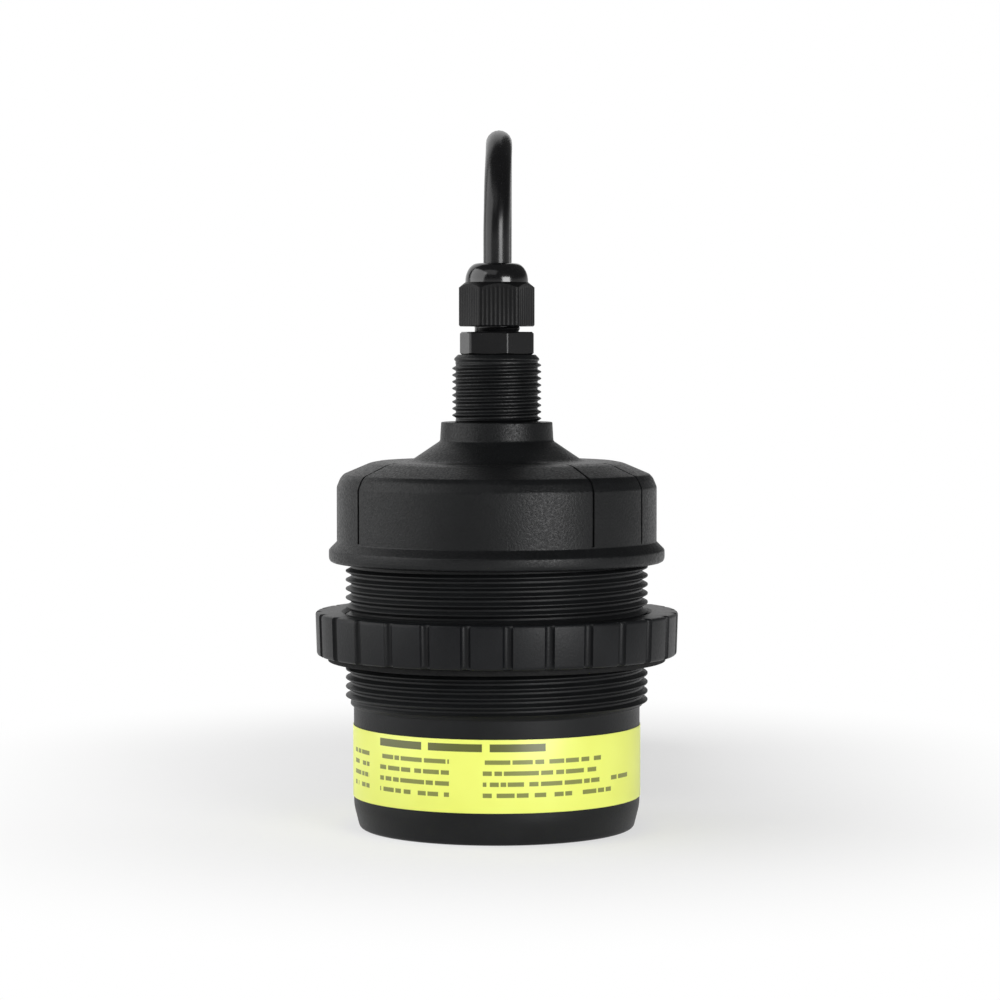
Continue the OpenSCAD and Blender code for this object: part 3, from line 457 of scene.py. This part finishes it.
def hexagon(angle, turn):
    """Radius of a hexagon with round corners at an angle, and the way along its flat. On a flat the radius
    is the half width over the cosine of the angle to the flat's middle. At a corner it is the far side of
    the rounding circle, c cos u + sqrt(r r - c c sin u sin u), whose centre is at distance c and angle u."""
    way = (angle - np.radians(turn + 30) + np.pi / 6) % (np.pi / 3) - np.pi / 6
    to_corner = np.pi / 6 - np.abs(way)
    centre = (flat_half - corner_round) / np.cos(np.pi / 6)
    bow = np.sqrt(np.maximum(corner_round ** 2 - (centre * np.sin(to_corner)) ** 2, 0))
    flat_end = np.arctan(np.tan(np.pi / 6) * (1 - corner_round / flat_half))
    radius = np.where(np.abs(way) > flat_end, centre * np.cos(to_corner) + bow, flat_half / np.cos(way))
    return radius, flat_half * np.tan(way)


# The body, from the cable's hole out over the shank, the hexagon and the claws, and back in. Six slits part
# the claws at the top, so that the dome nut can bend them in.
body_turn, slit_side, slit_half, slit_floor = -73.7, -16.3, 3.5, 114.9
body_hole, shank_r, shank_low, hole_seam = 3.1, 6.2, 96.3, 104.0
hex_low, hex_top, hex_edge, hex_foot, corner_cut = neck_mouth, 111.4, 0.25, 0.2, 0.165
claw_root, claw_depth, claw_pitch, claw_turns = 4.95, 0.25, 1.5, 2
claw_in, claw_top, claw_floor = 4.55, 118.4, 111.8
claw_r, claw_thread_top = claw_root + claw_depth, hex_top + claw_pitch * claw_turns
slit_columns = slit_side + slit_half * np.array([-1.03, -1, 0, 1, 1.03])
side = np.sort(np.concatenate([np.linspace(-24, 24, 17), slit_columns, corner_columns, -corner_columns,
                               [-30]]))
body_angles = six_sides(body_turn, side)
in_slit = np.append(np.tile(np.abs(side - slit_side) < 1.01 * slit_half, 6), False)
shank = blunt([(body_hole, hole_seam), (body_hole, shank_low), (shank_r, shank_low), (shank_r, hex_low)],
              cut=[0, 0.2, 0.5, 0])
hex_r, _ = hexagon(body_angles, body_turn)
over_corner = corner_cut * np.maximum(hex_r - flat_half, 0)
level = np.ones(body_angles.size)
hex_rows_r = [hex_r - hex_edge - over_corner, hex_r, hex_r, hex_r - hex_edge - over_corner]
hex_rows_z = [hex_low * level, hex_low + hex_foot + over_corner, hex_top - hex_edge - over_corner,
              hex_top * level]
claws = blunt([(claw_root, claw_thread_top), (claw_r, claw_thread_top + 0.2), (claw_r, claw_top),
               (claw_in, claw_top), (claw_in, claw_floor), (body_hole, claw_floor), (body_hole, hole_seam)],
              cut=[0, 0.1, 0.2, 0.1, 0.1, 0.2, 0])
claws = np.concatenate([screw_turns(claw_root, claw_depth, claw_pitch, hex_top, claw_turns, body_angles),
                        np.repeat(claws[:, None], body_angles.size, axis=1)])
claws[..., 1] = np.minimum(claws[..., 1], np.where(in_slit, slit_floor, claw_top))
hex_rows = np.stack([hex_rows_r, hex_rows_z], axis=-1)
gland_body = skin("gland_body_hex", turned(body_angles, shank, hex_rows, claws), nylon_satin, sharp=24)
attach(gland_body, "housing")
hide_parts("gland_body")

# The dome nut, from its bore's lower edge out over the ribbed hexagon and the dome, and back in. The
# hexagon's upper edge is turned to a cone, so it is lowest at the corners.
dome_turn, dome_bore, dome_low, cone_low = -56.4, 5.4, 112.6, 121.3
dome_foot_r, dome_foot_z, lip_r, lip_z, lip_top, lip_in = 7.05, 122.5, 4.2, 122.7, 126.75, 4.0
seal_top, hex_lead = 120.4, 0.3
rib_count, rib_gap, rib_half, rib_deep, rib_end, rib_runout = 8, 0.95, 0.38, 0.08, 0.9, 0.15
rib_at = (np.arange(rib_count) - (rib_count - 1) / 2) * rib_gap
rib_columns = np.degrees(np.arctan((rib_at[:, None] + rib_half * np.linspace(-1, 1, 5)).ravel() / flat_half))
side = np.sort(np.concatenate([rib_columns, corner_columns[1:], -corner_columns[1:], [-30]]))
dome_angles = six_sides(dome_turn, side)
hex_r, along_flat = hexagon(dome_angles, dome_turn)
off_rib = np.abs(along_flat[:, None] - rib_at).min(axis=1)
rib = rib_deep * np.clip(1 - (off_rib / rib_half) ** 2, 0, 1)
cone_z = cone_low + (dome_foot_z - cone_low) * (corner_r - hex_r) / (corner_r - dome_foot_r)
level = np.ones(dome_angles.size)
hex_rows_r = [dome_bore * level, hex_r - hex_lead, hex_r - rib, hex_r - rib, hex_r, hex_r]
hex_rows_z = [dome_low * level, dome_low * level, (dome_low + hex_lead) * level, cone_z - rib_end,
              cone_z - rib_end + rib_runout, cone_z]
hex_rows = np.stack([hex_rows_r, hex_rows_z], axis=-1)
arc = np.radians(np.linspace(0, 90, 15))[:, None]
crown = np.hstack([lip_r + (dome_foot_r - lip_r) * np.cos(arc), lip_z + (lip_top - lip_z) * np.sin(arc)])
bore = blunt([(lip_r, lip_top), (lip_in, 126.6), (lip_in, 125.7), (4.35, seal_top), (dome_bore, seal_top),
              (dome_bore, dome_low)], cut=0.15)
dome = np.vstack([[(dome_foot_r, dome_foot_z)], crown, bore])
dome_nut = skin("gland_dome_nut", turned(dome_angles, hex_rows, dome), nylon_polished, sharp=24)
dome_nut.data.materials.append(nylon_textured)
face_middle = np.empty(3 * len(dome_nut.data.polygons))
dome_nut.data.polygons.foreach_get("center", face_middle)
on_hexagon = face_middle[2::3] < dome_foot_z * 0.001
dome_nut.data.polygons.foreach_set("material_index", on_hexagon.astype(np.int32))
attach(dome_nut, "dome")
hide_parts("gland_nut")

# Neoprene, moulded smooth: a dull even black
neoprene = moulded("seal_neoprene_black", "#0f0f10", "#151515", grain=0.5, relief=0.008, rough=0.6, ior=1.5)
finish(neoprene, "gland_seal")

# The cable: a round five-core lead with a black PVC jacket, 6 mm thick and 2 m long. It leaves the gland
# upwards, bends over behind the housing and lies on the floor there, wound up as a flat hank.

# PVC is smooth and glossy, with the slow waviness that extrusion leaves along it.
jacket = moulded("pvc_jacket_black", "#0c0c0d", "#111112", grain=4.0, relief=0.03, rough=0.26,
                 ior=1.53, gloss=0.3)

cable_r, gland_mouth = 3.0, 126.8
leave = np.array([
    [0, 0, 0], [0, 0, 3], [0, 0, 6.6], [0.1, 1, 12.5], [0.2, 4, 18.5], [0.4, 8.5, 23.5], [0.5, 14.5, 26.8],
    [0.5, 21, 28], [0.5, 27.5, 26.8], [0.5, 33.5, 23.5], [0.5, 38, 18.5], [0.5, 41, 12.5], [0.5, 42.5, 6],
    [0.5, 44, -6], [0.5, 46, -20], [0.5, 48.5, -36], [0.5, 51, -50], [0.6, 53.5, -62], [1.2, 57, -73],
    [3, 62, -82], [6.5, 69, -89.5], [11, 77, -95], [16, 86, -99.5], [20.5, 96, -102.8], [23.4, 107, -104.4],
    [24.2, 120, -104.2], [24.2, 137, -104.2]]) + [0, 0, gland_mouth]
far_fold, near_fold, fold_r, turn_gap, hank_top, laps_down, jacket_end = 137, 67, 24.2, 6.2, 22.6, 3, 100


def smooth_way(points, step):
    """A smooth line through points, spaced by about a step: between two points it is the cubic curve whose
    slope at each of them is that of the parabola through it and its two neighbours."""
    run = np.append(0, np.cumsum(np.linalg.norm(np.diff(points, axis=0), axis=1)))
    slope = np.gradient(points, run, axis=0)
    at = np.linspace(0, run[-1], int(run[-1] / step) + 1)
    i = np.clip(np.searchsorted(run, at, side="right") - 1, 0, len(run) - 2)
    gap = (run[i + 1] - run[i])[:, None]
    t = ((at - run[i]) / (run[i + 1] - run[i]))[:, None]
    return ((2 * t ** 3 - 3 * t ** 2 + 1) * points[i] + (t ** 3 - 2 * t ** 2 + t) * gap * slope[i]
            + (3 * t ** 2 - 2 * t ** 3) * points[i + 1] + (t ** 3 - t ** 2) * gap * slope[i + 1])


def hank_turns(lap):
    """Points of the hank at numbers of laps: a quarter lap round the far fold, a quarter back along the left
    run, a quarter round the near fold and a quarter along the right run. Three laps go down outside, the
    next half lap draws in at the bottom, and the rest climb inside."""
    quarter, part = np.floor(lap * 4).astype(int) % 4, lap * 4 % 1
    draw = np.clip((lap - laps_down) / 0.5, 0, 1)
    r = fold_r - turn_gap * draw * draw * (3 - 2 * draw)
    turn = np.pi * (part + np.where(quarter == 2, 1, 0))
    fold = quarter % 2 == 0
    run = (far_fold - near_fold) * part
    x = np.where(fold, r * np.cos(turn), np.where(quarter == 1, -r, r))
    y = np.where(fold, np.where(quarter == 0, far_fold, near_fold) + r * np.sin(turn),
                 np.where(quarter == 1, far_fold - run, near_fold + run))
    z = hank_top - turn_gap * np.minimum(lap, laps_down) + turn_gap * np.maximum(lap - laps_down - 0.5, 0)
    return np.stack([x, y, z], axis=-1)


def tube(line, radius, sides, upright):
    """A round section carried along a line: rings about each point in the plane across the line, measured
    from the upright direction made square to it. Both ends close on the line itself."""
    ahead = np.gradient(line, axis=0)
    ahead /= np.linalg.norm(ahead, axis=1, keepdims=True)
    one = upright - (upright * ahead).sum(axis=1, keepdims=True) * ahead
    one /= np.linalg.norm(one, axis=1, keepdims=True)
    two = np.cross(ahead, one)
    turn = np.linspace(0, 2 * np.pi, sides + 1)[None, :, None]
    ring = line[:, None] + radius * (np.cos(turn) * one[:, None] + np.sin(turn) * two[:, None])
    close = np.ones((1, sides + 1, 1))
    return np.concatenate([line[:1, None] * close, ring, line[-1:, None] * close])


# The hank ends on its left run after six laps and a fold, where the jacket is cut off
laps = np.linspace(0, 6.25 + 0.25 * (far_fold - jacket_end) / (far_fold - near_fold), 760)
free, hank = smooth_way(leave, 1.5)[:-1], hank_turns(laps)
lead = np.concatenate([free, hank])
# Rings are measured from the side where the lead stands up, and from above where it lies
lying = np.append(np.clip((free[:, 1] - 70) / 40, 0, 1), np.ones(len(hank)))[:, None]
upright = (1 - lying) * np.array([1.0, 0, 0]) + lying * np.array([0, 0, 1.0])
cable = skin("cable_lead", tube(lead, cable_r, 20, upright), jacket, sharp=50)
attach(cable, "housing")
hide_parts("cable_free", "cable_hank")
finish(jacket, "cable_inner")

# The tie: a natural nylon strap drawn tight round the hank. It is moulded in one with its ratchet head,
# which lies on top, and the rest of the strap is cut off short behind the head.

# Natural nylon is milky, with a soft gloss.
tie_nylon = moulded("nylon_natural", "#cfccc2", "#dcd9d0", grain=0.8, relief=0.008, rough=0.4, ior=1.53)

tie_y, strap_half, strap_low, strap_top, strap_round, strap_thick = 118.5, 27.25, 0.95, 25.65, 3.0, 0.9


def strap_way(grow):
    """A rectangle with round corners in the plane across the hank, grown to all sides: four quarter arcs,
    joined by its sides."""
    steps = 9
    quarters = np.repeat(np.arange(4) * np.pi / 2, steps)
    turn = quarters + np.tile(np.linspace(0, np.pi / 2, steps), 4)
    corner_x = np.repeat([1, -1, -1, 1], steps) * (strap_half - strap_round)
    corner_z = np.repeat([strap_top - strap_round, strap_low + strap_round], 2 * steps)
    reach = strap_round + grow
    way = np.stack([corner_x + reach * np.cos(turn), corner_z + reach * np.sin(turn)], axis=-1)
    return np.vstack([way, way[:1]])


# The strap's section, as places across its width and shares of its thickness, with both edges rounded
across_strap = tie_y + np.array([-2.3, -2.5, -2.3, 0, 2.3, 2.5, 2.3, 0, -2.3])
outward = np.array([0.0, 0.5, 1.0, 1.0, 1.0, 0.5, 0.0, 0.0, 0.0])[:, None, None]
strap = strap_way(0) + (strap_way(strap_thick) - strap_way(0)) * outward
strap = np.stack(np.broadcast_arrays(strap[..., 0], across_strap[:, None], strap[..., 1]), axis=-1)
tie = skin("hank_tie_strap", strap, tie_nylon, sharp=40)
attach(tie, "housing")
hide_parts("hank_tie")


def rounded_block(middle, half, power):
    """A block with round edges: a ball whose sines and cosines are each raised to a small power with their
    sign kept, which draws it out towards a box, and stretched to the block's half sizes about its middle."""
    rise, turn = np.linspace(-np.pi / 2, np.pi / 2, 17)[:, None], np.linspace(-np.pi, np.pi, 33)
    wave = np.stack(np.broadcast_arrays(np.cos(turn), np.sin(turn), np.sin(rise)), axis=-1)
    ball = np.sign(wave) * np.abs(wave) ** power
    ball[..., :2] *= np.cos(rise)[..., None] ** power
    return np.array(middle) + np.array(half) * ball


head_block = rounded_block(middle=(7.0, tie_y, 28.1), half=(3.3, 3.2, 2.0), power=0.3)
tail_block = rounded_block(middle=(11.4, tie_y, 28.3), half=(2.6, 2.3, 0.5), power=0.25)
tie_head = skin("hank_tie_head", head_block, tie_nylon, sharp=50)
tie_tail = skin("hank_tie_tail", tail_block, tie_nylon, sharp=50)
for piece in (tie_head, tie_tail):
    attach(piece, "housing")

# The stripped end: five PVC insulated cores, fanned out on top of the hank, each with a tinned tip ready for
# a terminal. The same cores run from the cable's inner end to the terminals inside the cap.

# Tinned copper: a bright, slightly rough grey metal, with the strands' twist drawn at 0.8 mm, coarser than
# the real 0.3 mm, so that it shows. A diagonal wave of scale s has a strand for every 2 pi / 10 / s metres.
strand_gap = 0.8
tinned, tree = bare_material("tinned_copper_strands")
place = add(tree, "TexCoord").outputs["Object"]
strands = add(tree, "TexWave", {"Scale": 1000 * 2 * np.pi / 10 / strand_gap, "Distortion": 0.6},
              {"Vector": place}, bands_direction="DIAGONAL")
# The grey follows the strands' relief: painted shade in the grooves between them, painted highlight on their
# crests
tint = add(tree, "ValToRGB", links={"Fac": strands.outputs["Fac"]})
low, high = tint.color_ramp.elements
low.color, high.color = srgb("#a5a7a8"), srgb("#d2d4d5")
bump = add(tree, "Bump", {"Strength": 0.6, "Distance": 0.00004}, {"Height": strands.outputs["Fac"]})
shader = add(tree, "BsdfPrincipled", {"Metallic": 1.0, "Roughness": 0.3},
             {"Base Color": tint.outputs["Color"], "Normal": bump.outputs["Normal"]})
add(tree, "OutputMaterial", links={"Surface": shader.outputs["BSDF"]})

# PVC insulation, extruded smooth: five clear colours with a soft gloss
core_finish = {"red": ("#b81c26", "#cc2630"), "black": ("#151517", "#1d1d20"),
               "yellow": ("#dcc222", "#ecd42e"), "blue": ("#1f48a6", "#2853ba"),
               "green": ("#267c35", "#30903f")}

# The cores leave the jacket in a ring of five, and fan out into a flat row within 8 mm
core_r, core_length, tip_r, tip_length, tip_hidden = 0.9, 22, 0.45, 6.5, 0.5
row_middle, row_step, row_fan = np.array([-18, 99.9, 20.4]), 2.0, np.radians(1.5)
ring_r, ring_deep, ring_angle, fan_length = 1.55, 0.31, np.radians([162, 234, 90, 306, 18]), 8
above = np.array([[0, 0, 1.0]])
core_pieces = []
for i, (colour, (dark, light)) in enumerate(core_finish.items()):
    insulation = moulded("core_pvc_" + colour, dark, light, grain=2.0, relief=0.01, rough=0.32, ior=1.53)
    finish(insulation, "core_" + colour)
    place_in_row = i - 2
    share = np.linspace(0, 1, 41)[:, None]
    way = share * np.array([np.sin(row_fan * place_in_row), -np.cos(row_fan * place_in_row), 0])
    begin = row_middle + [row_step * place_in_row, 0, 0]
    in_ring = lead[-1] + [ring_r * np.cos(ring_angle[i]), ring_deep, ring_r * np.sin(ring_angle[i])] - begin
    drawn_in = np.clip(1 - share * core_length / fan_length, 0, 1)
    core_line = begin + core_length * way + in_ring * drawn_in * drawn_in * (3 - 2 * drawn_in)
    core = skin("core_end_" + colour, tube(core_line, core_r, 14, above), insulation, sharp=50)
    tip_line = begin + way[-1] * (core_length - tip_hidden) + tip_length * way[::4]
    tip = skin("core_tip_" + colour, tube(tip_line, tip_r, 12, above), tinned, sharp=50)
    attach(core, "housing")
    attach(tip, "housing")
    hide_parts("end_" + colour)
    core_pieces += [core, tip]

# The studio: a floor of white paper, a sheet of it that curves up behind the part, and four soft lamps, one
# in front on the right, a wide one on the left, a weak one high in front on the left and a large one
# overhead that only fills the shade. The room around is pale along the horizon and dim overhead.

# Matt paper: an even white without gloss, with faint clouds of fibre drawn at 3 mm
paper, tree = bare_material("paper_sweep_white")
place = add(tree, "TexCoord").outputs["Object"]
fibre = add(tree, "TexNoise", {"Scale": 1000 / 3, "Detail": 3.0}, {"Vector": place})
tone = add(tree, "ValToRGB", links={"Fac": fibre.outputs["Fac"]})
low, high = tone.color_ramp.elements
low.color, high.color = srgb("#f2f2f2"), srgb("#f8f8f8")
matte = add(tree, "BsdfDiffuse", links={"Color": tone.outputs["Color"]})
white = add(tree, "Emission", {"Strength": 1.0})
ray = add(tree, "LightPath").outputs
seen = ray["Is Camera Ray"]
for kind in ("Is Glossy Ray", "Is Transmission Ray"):
    seen = add(tree, "Math", links={0: seen, 1: ray[kind]}, operation="MAXIMUM").outputs[0]
# The paper is plain white further out. Close to the part it shows 40 percent of its own shading, with the
# part's shadow: within 3 to 16 cm of the line on the floor from the housing's middle to the hank's.
near, clear, near_white, hank_middle = 0.03, 0.16, 0.6, 0.12
spot = add(tree, "SeparateXYZ", links={"Vector": place})
along = add(tree, "Clamp", {"Min": 0.0, "Max": hank_middle}, {"Value": spot.outputs["Y"]})
off = add(tree, "Math", links={0: spot.outputs["Y"], 1: along.outputs["Result"]}, operation="SUBTRACT")
off = add(tree, "CombineXYZ", links={"X": spot.outputs["X"], "Y": off.outputs[0]})
away = add(tree, "VectorMath", links={0: off.outputs["Vector"]}, operation="LENGTH")
far = add(tree, "MapRange", {"From Min": near, "From Max": clear, "To Min": near_white},
          {"Value": away.outputs["Value"]}, interpolation_type="SMOOTHSTEP")
lit = add(tree, "Math", links={0: seen, 1: far.outputs["Result"]}, operation="MULTIPLY")
shader = add(tree, "MixShader",
             links={0: lit.outputs[0], 1: matte.outputs["BSDF"], 2: white.outputs["Emission"]})
add(tree, "OutputMaterial", links={"Surface": shader.outputs["Shader"]})

floor_half, floor_z, sweep_round, sweep_top = 20000, -0.05, 700, 3000
sweep_from, sweep_back, sweep_left, sweep_right = 1200, 1900, -2200, 500
floor_x = np.linspace(-floor_half, floor_half, 9)
floor = skin("paper_floor", np.stack(np.broadcast_arrays(floor_x, floor_x[:, None], floor_z), axis=-1), paper)
curve = np.radians(np.linspace(0, 90, 16))
sweep_x = np.linspace(sweep_left, sweep_right, 12)[:, None]
sweep_y = np.append(sweep_from + sweep_round * np.sin(curve), sweep_back)
sweep_z = np.append(sweep_round - sweep_round * np.cos(curve), sweep_top)
sweep = skin("paper_sweep", np.stack(np.broadcast_arrays(sweep_x, sweep_y, sweep_z), axis=-1), paper)

# Each lamp's place and size in metres, and its power in watts. All of them face the middle of the barrel.
lamps = {"front_right": ((0.64, -0.9, 0.24), (0.56, 0.46), 9.5),
         "left_side": ((-0.85, -0.12, 0.42), (1.2, 0.85), 8.2),
         "high_front": ((-0.4, -0.75, 0.9), (0.9, 0.5), 1.0),
         "overhead_fill": ((0.0, 0.01, 1.6), (2.0, 2.0), 1.5)}
barrel_middle = np.array([0, 0, 0.06])
for name, (stand, size, power) in lamps.items():
    light = bpy.data.lights.new(name, "AREA")
    light.shape, light.size, light.size_y, light.energy = "RECTANGLE", *size, power
    lamp = bpy.data.objects.new(name, light)
    lamp.location = stand
    towards = barrel_middle - np.array(stand)
    towards /= np.linalg.norm(towards)
    lamp.rotation_euler = (np.arccos(-towards[2]), 0, np.arctan2(towards[1], towards[0]) - np.pi / 2)
    lamp.visible_camera = False
    lamp.visible_glossy = name != "overhead_fill"
    bpy.context.scene.collection.objects.link(lamp)

# The room fades from the horizon's brightness to the ceiling's between these heights of its sphere
fade_from, fade_to, horizon, overhead, ambient = 0.04, 0.24, 0.55, 0.1, 0.1
room = bpy.data.worlds.new("pale_horizon_dim_ceiling")
room.use_nodes = True
tree = room.node_tree
tree.nodes.clear()
sky = add(tree, "SeparateXYZ", links={"Vector": add(tree, "TexCoord").outputs["Generated"]})
glow = add(tree, "MapRange", {"From Min": fade_from, "From Max": fade_to,
                              "To Min": horizon, "To Max": overhead},
           {"Value": sky.outputs["Z"]}, interpolation_type="SMOOTHSTEP")
ray = add(tree, "LightPath").outputs
seen = ray["Is Camera Ray"]
for kind in ("Is Glossy Ray", "Is Transmission Ray"):
    seen = add(tree, "Math", links={0: seen, 1: ray[kind]}, operation="MAXIMUM").outputs[0]
level = add(tree, "Mix", {"A": ambient}, {"Factor": seen, "B": glow.outputs["Result"]}, data_type="FLOAT")
dim = add(tree, "Background", {"Color": srgb("#ffffff")}, {"Strength": level.outputs["Result"]})
add(tree, "OutputWorld", links={"Surface": dim.outputs["Background"]})
bpy.context.scene.world = room
bpy.context.scene.view_settings.view_transform = "Standard"

# The camera: level with the cap's neck, looking down by less than three degrees. It stands a long way off
# behind a long lens, so the part's sides stay nearly parallel.

look_down = 2.7
lens = bpy.data.cameras.new("front")
lens.sensor_width, lens.lens, lens.clip_start = 36, 116.8, 0.05
camera = bpy.data.objects.new("front", lens)
camera.location = (0.00073, -0.729, 0.108)
camera.rotation_euler = (np.radians(90 - look_down), 0, 0)
bpy.context.scene.collection.objects.link(camera)
bpy.context.scene.camera = camera
